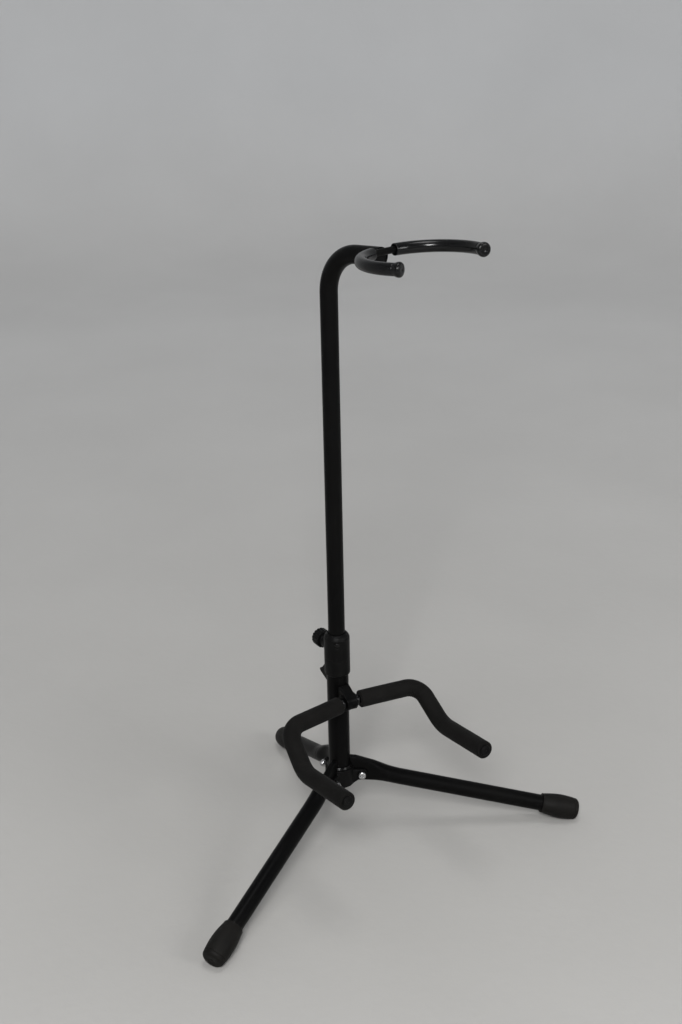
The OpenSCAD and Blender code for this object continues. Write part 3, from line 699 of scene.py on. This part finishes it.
def prong_line(side):
    """The axis of one prong of the neck rest, from its middle to the rod's end."""
    neck = vec(0, -cosine(NECK_RISE), sine(NECK_RISE))
    neck_up = vec(0, sine(NECK_RISE), cosine(NECK_RISE))
    middle = vec(0, 0, NECK_Z) + neck * (NECK_LEN + YOKE_R - YOKE_SEAT) + neck_up * YOKE_LIFT
    ahead = vec(0, -cosine(YOKE_RISE), sine(YOKE_RISE))
    trim = YOKE_BEND * math.tan(math.radians((90 + YOKE_LEAN) / 2))
    corner = middle + vec(side * (YOKE_BASE + trim), 0, 0)
    end = corner + (vec(-side * sine(YOKE_LEAN), 0, 0) + ahead * cosine(YOKE_LEAN)) * (trim + YOKE_PRONG)
    return Line([about_post(p) for p in rounded_line([middle, corner, end], [YOKE_BEND], 0.5)])


def vinyl_sleeve(label, side):
    """A glossy vinyl tube shrunk over the prong, with soft ends and a slight unevenness."""
    line = prong_line(side)
    wave, wave_depth = waves(seed=41 + side, count=10, spacing=30), 0.07
    start, end = SLEEVE_START, line.length - TIP_COVER - 0.05
    edge, bore = 0.7, YOKE_R + BORE_GAP
    skin_r = 5
    stations = [(start + 0.5, bore), (start, bore + 0.3), (start, SLEEVE_R - edge - 0.5)]
    stations += arc((start + edge, SLEEVE_R - edge), edge, -90, 0, 5)
    stations += [(s, SLEEVE_R) for s in np.arange(start + 1.5, end - 1, 1.0)]
    stations += [(end - 0.4, SLEEVE_R), (end, SLEEVE_R - 0.2), (end, bore + 0.2), (end - 0.5, bore)]
    stations += [(s, bore) for s in np.arange(end - 3, start + 2, -3.0)]

    def shape(s, radius, angle):
        if radius <= skin_r:
            return radius, 0.0
        return radius + wave_depth * wave(s, angle * SLEEVE_R), 0.0

    piece = turned(f"vinyl_sleeve_{label}", line, stations, "vinyl", sides=64, closed=True, shape=shape)
    finished(piece, "neck", "vinyl", f"yoke_sleeve_{label}")


def vinyl_tip(label, side):
    """The swollen end of a prong's sleeve, with a rounded face and a dimple."""
    line = prong_line(side)
    back, inner, face = line.length - TIP_COVER, line.length + 0.05, line.length + TIP_LEN
    lip_r, edge = SLEEVE_R + 0.08, 2.6
    bore = [(inner, 0), (inner, YOKE_R + BORE_GAP), (back, YOKE_R + BORE_GAP)]
    lip = [(back, SLEEVE_R - 0.1), (back + 0.4, lip_r)]
    swell = [(back + t * TIP_COVER, lip_r + (TIP_R - lip_r) * smooth_step(t, 0.1, 1))
             for t in np.linspace(0.2, 1, 7)]
    nose = arc((face - edge, TIP_R - edge), edge, 0, 84, 9)
    dimple = [(face + 0.05, 2.4), (face - 0.1, 1.5), (face - 0.35, 0.9), (face - 0.4, 0)]
    piece = turned(f"vinyl_tip_{label}", line, bore + lip + swell + nose + dimple, "vinyl", sides=64)
    finished(piece, "neck", "vinyl", f"yoke_tip_{label}")


# Legs

def foot_axis_z(slope):
    """Height of a leg's axis at the rounded end of its foot, with the worn flat on the floor."""
    return (FOOT_END_R - FOOT_ROUND) * cosine(slope) + FOOT_ROUND - FOOT_FLAT


def leg_slope(reach):
    """The slope that sets the rounded end of the foot on the floor, found step by step."""
    slope = 15.0
    for _ in range(8):
        slope = math.degrees(math.atan((PIVOT_Z + LEG_LIFT - foot_axis_z(slope)) / (reach - PIVOT_R)))
    return slope


def level_axes(angle):
    """Level directions away from the post at an angle from straight ahead, and across that."""
    return vec(sine(angle), -cosine(angle), 0), vec(cosine(angle), sine(angle), 0)


def leg_line(angle, reach):
    """The axis of a leg's tube, from above its pivot to the rounded end of its foot."""
    out, _ = level_axes(angle)
    slope = leg_slope(reach)
    start = out * PIVOT_R + vec(0, 0, PIVOT_Z + LEG_LIFT)
    down = out * cosine(slope) - vec(0, 0, sine(slope))
    return straight(start, start + down * (reach - PIVOT_R) / cosine(slope))


def swell_end(slope):
    """Distance from the post's axis at which the sides of a pinched end are round."""
    return PIVOT_R + PINCH_BLEND * cosine(slope) + SWELL_LAG


def plate_top(u):
    """Height of the flat plate's top edge, which eases down beside the post and then falls."""
    ease_u, fall_u, ease, fall = 10, 19, 1.0, 0.37
    return PIVOT_Z + PINCH_RISE - ease * smooth_step(u, ease_u, fall_u) - fall * max(0.0, u - fall_u)


def plate_bottom(u):
    """Height of the flat plate's lower edge: over the ring, round the pivot, then slowly falling."""
    low = PIVOT_Z - PINCH_DROP
    nose_r = PIVOT_R - STOP_U
    fall_u, fall = 28, 0.12
    if u < STOP_U:
        return HUB_TOP + RING_H + FACE_GAP
    if u < PIVOT_R:
        return max(low, PIVOT_Z - math.sqrt(max(0.0, nose_r ** 2 - (PIVOT_R - u) ** 2)))
    return low - fall * max(0.0, u - fall_u)


def pinched_slice(u, slope):
    """Middle height, half height and half width of an upright slice, and how round it is.

    u is the slice's distance from the post's axis. A shallow fold runs across it where its sides
    turn round.
    """
    fold_depth, fold_w = 0.28, 0.8
    round_u = swell_end(slope)
    swell = smooth_step(u, SWELL_U, round_u)
    top_swell = smooth_step(u, SWELL_U + TOP_WAIT, round_u + TOP_LAG)
    axis_z = PIVOT_Z + LEG_LIFT - math.tan(math.radians(slope)) * (u - PIVOT_R)
    round_half = LEG_R / cosine(slope)
    high = plate_top(u) * (1 - top_swell) + (axis_z + round_half) * top_swell
    low = plate_bottom(u) * (1 - swell) + (axis_z - round_half) * swell
    width = PINCH_T / 2 * (1 - swell) + LEG_R * swell - fold_depth * bell(u - round_u, fold_w)
    return (high + low) / 2, (high - low) / 2, width, swell


def plate_height(s, half):
    """Height on the flat plate's outline: straight sides under rounded crowns, s from -1 to 1."""
    crown = min(half, PINCH_T / 2)
    side_share = 0.25
    if abs(s) > side_share:
        return math.copysign(half - crown + crown * abs(s), s)
    return s / side_share * (half - crown * (1 - side_share))


def pinched_ring(u, slope, axes, ripple, squeeze=1.0):
    """Points of an upright slice of the pinched end, which begins in a curve that fits the post."""
    squareness, dent_depth, fit_len = 0.62, 0.12, 8
    out, across = axes
    middle, half, width, swell = pinched_slice(u, slope)
    flat = 1 - swell
    near = 1 - smooth_step(u, START_U, START_U + fit_len)
    power = 1 - squareness * flat
    ring = []
    for a in round_angles(LEG_SIDES):
        c, s = math.cos(a), math.sin(a)
        wide = math.copysign(abs(c) ** power, c) * width * squeeze
        tall = s * half * (1 - flat) + flat * plate_height(s, half)
        follow = near * (START_U - math.sqrt(START_U ** 2 - wide ** 2))
        dented = wide + math.copysign(dent_depth * ripple(u, tall) * flat, wide)
        ring.append(out * (u - follow) + vec(0, 0, middle + tall) + across * dented)
    return ring


def round_ring(line, s, across):
    """Points round the leg's plain tube, in the order of a slice of its pinched end."""
    point, along, _, _ = line.at(s)
    up = unit(vec(0, 0, 1) - along * along[2])
    return [point + across * LEG_R * math.cos(a) + up * LEG_R * math.sin(a)
            for a in round_angles(LEG_SIDES)]


def slice_places(round_u):
    """Distances of the pinched end's slices: close beside the post and the ring, then even."""
    nose_u = PIVOT_R - PINCH_DROP
    places = [START_U, START_U + 0.3, STOP_U - 0.05, STOP_U + 0.05]
    places += list(np.linspace(RING_R + 0.8, nose_u + 0.5, 4))
    return places + list(np.arange(nose_u + 1, round_u, 0.6))


def leg_shell(label, angle, reach):
    """A steel tube squashed flat beside the hub and swelling into the round leg."""
    end_squeeze, turn_len, tube_rings = 0.7, 4, 40
    axes = level_axes(angle)
    slope = leg_slope(reach)
    line = leg_line(angle, reach)
    ripple = waves(seed=71, count=8, spacing=45)
    round_u = swell_end(slope) + TOP_LAG
    round_start = (round_u + turn_len - PIVOT_R) / cosine(slope)
    tube_end = line.length + FOOT_ROUND - (FOOT_LEN - FOOT_GRIP)
    rings = [pinched_ring(START_U, slope, axes, ripple, end_squeeze)]
    rings += [pinched_ring(u, slope, axes, ripple) for u in slice_places(round_u)]
    rings += [round_ring(line, s, axes[1]) for s in np.linspace(round_start, tube_end, tube_rings)]
    verts, numbers = numbered(rings)
    faces = [tuple(reversed(numbers[0]))]
    faces += [(a, d, c, b) for a, b, c, d in skin(numbers)]
    faces.append(tuple(numbers[-1]))
    piece = make_mesh(f"leg_tube_{label}", verts, faces, "black_paint", sharp=50)
    finished(piece, f"leg_{label}", "black_paint", f"leg_{label}")


# Feet

def boot_stations():
    """A boot: a bore round the tube, a rolled mouth, a swelling body and a dished, rounded end."""
    inner, mouth = LEG_R + BORE_GAP, LEG_R + FOOT_LIP
    lip, belly, shoulder = 1.5, FOOT_LEN * FOOT_BELLY, FOOT_LEN - FOOT_ROUND
    bore = [(FOOT_GRIP, 0), (FOOT_GRIP, inner), (2.0, inner), (0.6, inner + 0.1), (0.1, inner + 0.5)]
    rolled = arc((0.75, mouth - 0.6), 0.7, -60, 20, 6)
    swelling = [(lip + (belly - lip) * t, mouth + (FOOT_R - mouth) * sine(90 * t))
                for t in np.linspace(0.04, 1, 20)]
    narrowing = [(belly + (shoulder - belly) * t, FOOT_R - (FOOT_R - FOOT_END_R) * t * t)
                 for t in np.linspace(0.05, 1, 44)]
    rounded = arc((shoulder, FOOT_END_R - FOOT_ROUND), FOOT_ROUND, 8, 86, 10)
    dish = [(FOOT_LEN, FOOT_END_R - FOOT_ROUND - 1), (FOOT_LEN, 4.2), (FOOT_LEN - 0.35, 3.6)]
    gate = [(FOOT_LEN - 0.4, 1.4), (FOOT_LEN - 0.1, 1.0), (FOOT_LEN, 0.5), (FOOT_LEN, 0)]
    return bore + rolled + swelling + narrowing + rounded + dish + gate


def boot_shape(wave):
    """A boot's relief: gentle waves, a mould line down two sides and a groove near its end."""
    outside_r = LEG_R + FOOT_LIP - 0.4
    wave_depth = 0.1
    line_h, line_w, line_end = 0.16, 0.495, FOOT_LEN - 3
    groove_d, groove_w, groove_s = 0.55, 0.55, FOOT_LEN - 5.2

    def shape(s, radius, angle):
        if radius < outside_r and s < FOOT_LEN - 1:
            return radius, 0.0
        off = (angle - math.pi / 2) % math.pi - math.pi / 2
        mould_line = 0.0 if s > line_end else line_h * bell(off * radius, line_w)
        groove = groove_d * bell(s - groove_s, groove_w)
        return radius + wave_depth * wave(s, angle * radius) + mould_line - groove, 0.0

    return shape


def rubber_boot(label, angle, reach):
    """A moulded rubber boot, with a worn flat where it stands on the floor."""
    axis = leg_line(angle, reach)
    end = axis.length + FOOT_ROUND
    line = straight(axis.at(end - FOOT_LEN)[0], axis.at(end)[0])
    shape = boot_shape(waves(seed=90 + angle % 7, count=12, spacing=22))
    piece = turned(f"rubber_boot_{label}", line, boot_stations(), "rubber", sides=96, shape=shape)
    for vertex in piece.data.vertices:
        vertex.co.z = max(vertex.co.z, 0.0)
    finished(piece, f"leg_{label}", "rubber", f"foot_{label}")


# Clamp knob

def knob_shape(s, radius, angle):
    """Flutes between the knob's grips, which fade out towards its middle."""
    depth, narrowing = 0.85, 1.6
    share = smooth_step(radius, KNOB_R - 3.0, KNOB_R - 0.6)
    flute = max(0.0, math.cos(KNOB_GRIPS * angle)) ** narrowing
    return radius - depth * flute * share, 0.0


def clamp_knob():
    """A fluted thumb knob with a neck, softened grips and a dished face."""
    total = KNOB_NECK + KNOB_T
    line = straight((0, KNOB_Y, KNOB_Z), (0, KNOB_Y + total, KNOB_Z))
    neck_edge, back_edge, front_edge = 0.6, 1.5, 1.7
    neck = [(0, 0), (0, KNOB_NECK_R - neck_edge)]
    neck += arc((neck_edge, KNOB_NECK_R - neck_edge), neck_edge, -80, 0, 4)
    neck += [(KNOB_NECK - 0.9, KNOB_NECK_R), (KNOB_NECK - 0.4, KNOB_NECK_R + 0.4)]
    back = [(KNOB_NECK, KNOB_R - 2.4)] + arc((KNOB_NECK + back_edge, KNOB_R - back_edge), back_edge, -80, 0)
    grip = [(s, KNOB_R) for s in np.linspace(KNOB_NECK + 2.2, total - 2.4, 8)]
    front = arc((total - front_edge, KNOB_R - front_edge), front_edge, 0, 85, 7) + [(total, KNOB_R - 3.2)]
    dish = [(total - 0.15, KNOB_R - 4.2), (total - 0.9, KNOB_R - 5.2), (total - 1.0, 2.2)]
    gate = [(total - 0.7, 1.6), (total - 0.6, 0)]
    stations = neck + back + grip + front + dish + gate
    piece = turned("thumb_knob", line, stations, "black_plastic", sides=192, shape=knob_shape)
    finished(piece, "knob", "black_plastic", "clamp_knob")


# Leg pivots

def pivot_line(angle):
    """A leg pivot's axis, from the face of the cheek under the screw's head."""
    out, across = level_axes(angle)
    start = out * PIVOT_R + vec(0, 0, PIVOT_Z) - across * CHEEK_W / 2
    return straight(start, start + across * CHEEK_W)


def cross_recess(top):
    """A cross sunk into the flat face at a distance, shallower towards the ends of its arms."""
    arm_w, arm_edge, arm_len, arm_end = 0.45, 0.75, 2.1, 2.4
    depth, rise = 1.3, 0.2

    def shape(s, radius, angle):
        if s > top:
            return radius, 0.0
        x, y = abs(radius * math.cos(angle)), abs(radius * math.sin(angle))
        arm = 1 - smooth_step(min(x, y), arm_w, arm_edge)
        reach = 1 - smooth_step(max(x, y), arm_len, arm_end)
        return radius, depth * arm * reach * (1 - rise * radius / arm_end)

    return shape


def pan_screw(line):
    """A pan-head screw with a cross recess and a threaded end."""
    top = -WASHER_T - SCREW_HEAD_H
    end = CHEEK_W + WASHER_T + NUT_H + SCREW_SPARE
    crown_h, crown_r, edge = 2.3, 2.9, 0.15
    thread_depth, half_pitch = 0.22, 0.4
    face = [(top, r) for r in np.linspace(0, crown_r, 24)]
    crown = [(top + crown_h * (1 - cosine(a)), crown_r + (SCREW_HEAD_R - crown_r) * sine(a))
             for a in np.linspace(0, 90, 8)[1:]]
    under = [(-WASHER_T - edge, SCREW_HEAD_R), (-WASHER_T, SCREW_HEAD_R - edge), (-WASHER_T, SCREW_R)]
    thread = [(s, SCREW_R - thread_depth * (k % 2))
              for k, s in enumerate(np.arange(CHEEK_W + WASHER_T, end - 0.6, half_pitch))]
    point = [(end - 0.5, SCREW_R - 0.1), (end, SCREW_R - 0.6), (end, 0)]
    return turned_shell(line, face + crown + under + thread + point, sides=96, shape=cross_recess(top))


def plain_washer(line, start):
    """A flat washer with broken edges."""
    end, bore, edge = start + WASHER_T, SCREW_R + BORE_GAP, 0.2
    near = [(start + edge, bore), (start, bore + edge), (start, WASHER_R - edge), (start + edge, WASHER_R)]
    far = [(end - edge, WASHER_R), (end, WASHER_R - edge), (end, bore + edge), (end - edge, bore)]
    return turned_shell(line, near + far, sides=48, closed=True)


def six_sided(s, radius, angle):
    facet = math.pi / 3
    return min(radius, NUT_FLAT / math.cos((angle % facet) - facet / 2)), 0.0


def lock_nut(line):
    """A hexagon nut with chamfered corners and the round collar of a locking insert."""
    start = CHEEK_W + WASHER_T
    bore, corner, hex_h = SCREW_R + BORE_GAP, NUT_FLAT / cosine(30), 3.1
    collar_r, edge, insert_r = 3.75, 0.8, 2.75
    stations = [(0.2, bore), (0, bore + 0.3), (0, NUT_FLAT), (0.3, corner), (hex_h, corner)]
    stations += [(hex_h + 0.4, NUT_FLAT), (hex_h + 0.5, collar_r)]
    stations += arc((NUT_H - edge, collar_r - edge), edge, 0, 90, 5)
    stations += [(NUT_H - 0.15, insert_r), (NUT_H - 0.5, bore)]
    return turned_shell(line, [(start + s, r) for s, r in stations], sides=96, closed=True, shape=six_sided)


def leg_pivots():
    """The screws, washers and nuts of the three leg pivots, joined by kind."""
    pivots = [pivot_line(angle) for angle, _ in LEGS.values()]
    screws = group("pivot_screws", [pan_screw(line) for line in pivots], "bright_steel")
    finished(screws, "base", "bright_steel", "leg_pivot_screws")
    shells = [plain_washer(line, start) for line in pivots for start in (-WASHER_T, CHEEK_W)]
    washers = group("pivot_washers", shells, "black_paint")
    finished(washers, "base", "black_paint", "leg_pivot_washers")
    nuts = group("pivot_nuts", [lock_nut(line) for line in pivots], "bright_steel")
    finished(nuts, "base", "bright_steel", "leg_pivot_nuts")


# Post ring and collar rivet

def beaded_ring():
    """The steel ring round the foot of the post, with two rolled beads."""
    line = straight((0, 0, HUB_TOP), (0, 0, HUB_TOP + RING_H))
    bore, lip, bead = POST_R + BORE_GAP, 0.2, RING_H / 2
    crest, valley, valley_in, lean = 0.35, 0.3, 0.85, 31
    stations = [(lip, bore), (0, bore + lip)]
    for low in (0, bead):
        stations += arc((low + crest, RING_R - crest), crest, -75, lean, 7)
        stations += arc((low + bead - valley, RING_R - valley_in), valley, lean, 80, 5)
    stations += [(RING_H, bore + lip), (RING_H - lip, bore)]
    piece = turned("post_ring", line, stations, "black_lacquer", sides=96, closed=True)
    finished(piece, "base", "black_paint", "hub_ring")


def dark_rivet():
    """The blackened rivet in the collar, with a low domed head."""
    middle = vec(0, 0, RIVET_Z)
    line = straight(middle, middle + level_axes(RIVET_ANGLE)[0])
    start, shank_r = POST_R + BORE_GAP, 2.0
    seat, rim, head_r, dome = start + 0.5, start + 1.3, 3.15, 1.0
    shank = [(start, 0), (start, shank_r), (seat, shank_r)]
    head = [(seat, head_r - 0.05), (rim, head_r)]
    head += [(rim + dome * math.sin(t), head_r * math.cos(t)) for t in np.linspace(0.15, 1.5, 12)]
    piece = turned("collar_rivet_head", line, shank + head + [(rim + dome, 0)], "black_lacquer", sides=64)
    finished(piece, "base", "black_paint", "collar_rivet")


# Castings and mouldings

def softened(node, slot, voxel, passes):
    """A CAD solid's own shape with moulded, rounded edges."""
    source = bpy.data.objects.new(node + "_body", NODES[node].data.copy())
    bpy.context.scene.collection.objects.link(source)
    remesh = source.modifiers.new("remesh", "REMESH")
    remesh.mode, remesh.voxel_size = "VOXEL", voxel * MM
    smooth = source.modifiers.new("smooth", "SMOOTH")
    smooth.factor, smooth.iterations = 0.5, passes
    thin = source.modifiers.new("thin", "DECIMATE")
    thin.ratio = 0.4
    view = bpy.context.evaluated_depsgraph_get()
    mesh = bpy.data.meshes.new_from_object(source.evaluated_get(view))
    bpy.data.objects.remove(source)
    mesh.materials.clear()
    mesh.materials.append(LOOKS[slot])
    mesh.shade_smooth()
    piece = bpy.data.objects.new(node + "_body", mesh)
    bpy.context.scene.collection.objects.link(piece)
    finished(piece, "base", slot, node)


# Camera, floor and light

# The photograph's view: the camera's turn, pitch and roll, and where it looks, from how far
VIEW_TURN, VIEW_PITCH, VIEW_ROLL = -31.395, 22.435, -1.206
AIM_ASIDE, AIM_Z, AIM_DISTANCE = 7.832, 407.119, 1527.096
# Its focal length and the photograph's height in pixels, and the camera's sensor in millimetres
FOCAL_PIXELS, IMAGE_H, SENSOR = 1400, 1024, 36


def place_camera():
    """Turns the camera round the object, looking down on it, and rolls it a little."""
    turn, pitch, roll = (math.radians(a) for a in (VIEW_TURN, VIEW_PITCH, VIEW_ROLL))
    back = Vector((math.sin(turn) * math.cos(pitch), -math.cos(turn) * math.cos(pitch), math.sin(pitch)))
    right = Vector((math.cos(turn), math.sin(turn), 0))
    up = back.cross(right)
    turned_right = right * math.cos(roll) + up * math.sin(roll)
    turned_up = up * math.cos(roll) - right * math.sin(roll)
    aim = Vector((math.cos(turn) * AIM_ASIDE, math.sin(turn) * AIM_ASIDE, AIM_Z))
    lens = bpy.data.cameras.new("view")
    lens.lens, lens.sensor_width = FOCAL_PIXELS / IMAGE_H * SENSOR, SENSOR
    camera = bpy.data.objects.new("view", lens)
    facing = Matrix((turned_right, turned_up, back)).transposed().to_4x4()
    camera.matrix_world = Matrix.Translation((aim + back * AIM_DISTANCE) * MM) @ facing
    bpy.context.scene.collection.objects.link(camera)
    bpy.context.scene.camera = camera


def cove_profile():
    """Radius and height of the floor's rings: flat, then a slow curve up into a wall."""
    flat_r, wall_r, cove_h, wall_h = 2.6, 4.0, 1.2, 5.0
    curve = [(flat_r + (wall_r - flat_r) * sine(a), cove_h * (1 - cosine(a)) ** 1.5)
             for a in np.linspace(0, 90, 10)]
    return [(1.6, 0.0)] + curve + [(wall_r, wall_h)]


def make_floor():
    """A floor that curves up behind the object into a plain backdrop, all round."""
    rings = [[(0.0, 0.0, 0.0)]]
    for radius, height in cove_profile():
        rings.append([(radius * math.cos(a), radius * math.sin(a), height) for a in round_angles(96)])
    verts, numbers = numbered(rings)
    mesh = bpy.data.meshes.new("floor")
    mesh.from_pydata(verts, [], skin(numbers))
    mesh.shade_smooth()
    mesh.materials.append(pale_surface())
    floor = bpy.data.objects.new("floor", mesh)
    bpy.context.scene.collection.objects.link(floor)


def soft_light(name, place, aim_z, size, power):
    """A square soft box aimed at a height on the post's axis."""
    lamp = bpy.data.lights.new(name, "AREA")
    lamp.size, lamp.energy = size, power
    obj = bpy.data.objects.new(name, lamp)
    obj.location = place
    obj.rotation_euler = (Vector((0, 0, aim_z)) - Vector(place)).to_track_quat("-Z", "Y").to_euler()
    bpy.context.scene.collection.objects.link(obj)


def light_scene():
    """A dim even sky, a key light at the front left, a fill at the front right and one overhead."""
    world = bpy.data.worlds.new("studio")
    world.use_nodes = True
    sky = world.node_tree.nodes["Background"]
    sky.inputs["Color"].default_value = (0.95, 0.97, 1.0, 1)
    sky.inputs["Strength"].default_value = 0.3
    bpy.context.scene.world = world
    soft_light("key", place=(-1.6, -2.2, 2.3), aim_z=0.4, size=0.8, power=85)
    soft_light("fill", place=(1.2, -2.6, 1.6), aim_z=0.4, size=0.9, power=22)
    soft_light("top", place=(0.1, -0.2, 3.1), aim_z=0.3, size=1.0, power=18)


# The whole scene

dress_nodes()
for label, side in SIDES.items():
    foam_sleeve(label, side)
    arm_end_cap(label, side)
for label, side in SIDES.items():
    vinyl_sleeve(label, side)
    vinyl_tip(label, side)
for label, (angle, reach) in LEGS.items():
    leg_shell(label, angle, reach)
    rubber_boot(label, angle, reach)
clamp_knob()
leg_pivots()
beaded_ring()
for label, side in SIDES.items():
    stop_ring(label, side)
dark_rivet()
softened("height_collar", "black_plastic", voxel=0.45, passes=5)
softened("base_hub", "black_plastic", voxel=0.5, passes=5)
softened("cradle_bracket", "black_paint", voxel=0.4, passes=6)

bpy.context.scene.view_settings.view_transform = "Standard"
place_camera()
make_floor()
light_scene()
